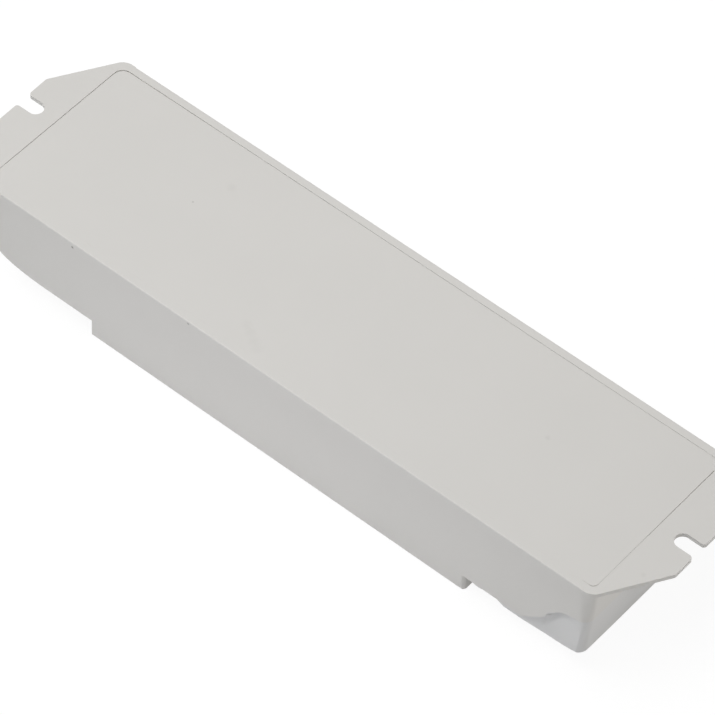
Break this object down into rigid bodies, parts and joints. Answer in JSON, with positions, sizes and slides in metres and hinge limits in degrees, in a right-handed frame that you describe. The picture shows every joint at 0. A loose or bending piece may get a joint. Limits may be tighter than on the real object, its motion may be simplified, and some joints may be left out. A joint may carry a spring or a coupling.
{
  "type": "led strip controller",
  "caption": "Flat white moulded controller for LED strips, with screw ears at both ends, an inset panel on the mounting side and a terminal cover at each end.",
  "frame": {"origin": "centre of the footprint, on the flat front of the centre block that the part rests on", "axes": "+X along the length towards the output end, +Y away from the output cover's skirt side, +Z out of the mounting side"},
  "size_m": [0.1682, 0.0424, 0.024],
  "materials": {
    "housing": "fine moulded texture",
    "back_panel": "fine moulded texture",
    "output_cover": "fine moulded texture",
    "input_cover": "fine moulded texture",
    "cover_screws": "zinc plated",
    "circuit_board": "green solder mask",
    "board_screws": "zinc plated",
    "input_terminal": "moulded",
    "output_terminal": "moulded",
    "terminal_cages": "tin plated",
    "terminal_screws": "zinc plated",
    "protection_diode": "moulded",
    "input_fuse": "ceramic",
    "input_capacitors": "bare can",
    "inductor": "pressed ferrite",
    "regulator": "moulded",
    "regulator_capacitor": "bare can",
    "mosfets": "moulded",
    "shunt_resistors": "glazed",
    "gate_resistors": "glazed",
    "driver_chip": "moulded",
    "microcontroller": "moulded",
    "crystal": "nickel plated can",
    "radio_module": "green solder mask",
    "radio_shield": "tin plated",
    "pairing_switch": "moulded",
    "switch_plunger": "moulded",
    "pairing_button": "moulded",
    "status_led": "moulded lens",
    "light_pipe": "clear moulded rod"
  },
  "bodies": {
    "controller": {"housing": "housing", "back_panel": "back_panel", "output_cover": "output_cover", "input_cover": "input_cover", "cover_screws": "cover_screws", "circuit_board": "circuit_board", "board_screws": "board_screws", "input_terminal": "input_terminal", "output_terminal": "output_terminal", "terminal_cages": "terminal_cages", "terminal_screws": "terminal_screws", "protection_diode": "protection_diode", "input_fuse": "input_fuse", "input_capacitors": "input_capacitors", "inductor": "inductor", "regulator": "regulator", "regulator_capacitor": "regulator_capacitor", "mosfets": "mosfets", "shunt_resistors": "shunt_resistors", "gate_resistors": "gate_resistors", "driver_chip": "driver_chip", "microcontroller": "microcontroller", "crystal": "crystal", "radio_module": "radio_module", "radio_shield": "radio_shield", "pairing_switch": "pairing_switch", "status_led": "status_led", "light_pipe": "light_pipe"},
    "button": {"pairing_button": "pairing_button", "switch_plunger": "switch_plunger"}
  },
  "joints": [
    {"name": "pairing_button_press", "type": "slide", "parent": "controller", "child": "button", "axis": [0, 0, 1], "range_m": [0, 0.0003], "stiffness_N_per_m": 400, "springref_m": -0.0008}
  ]
}
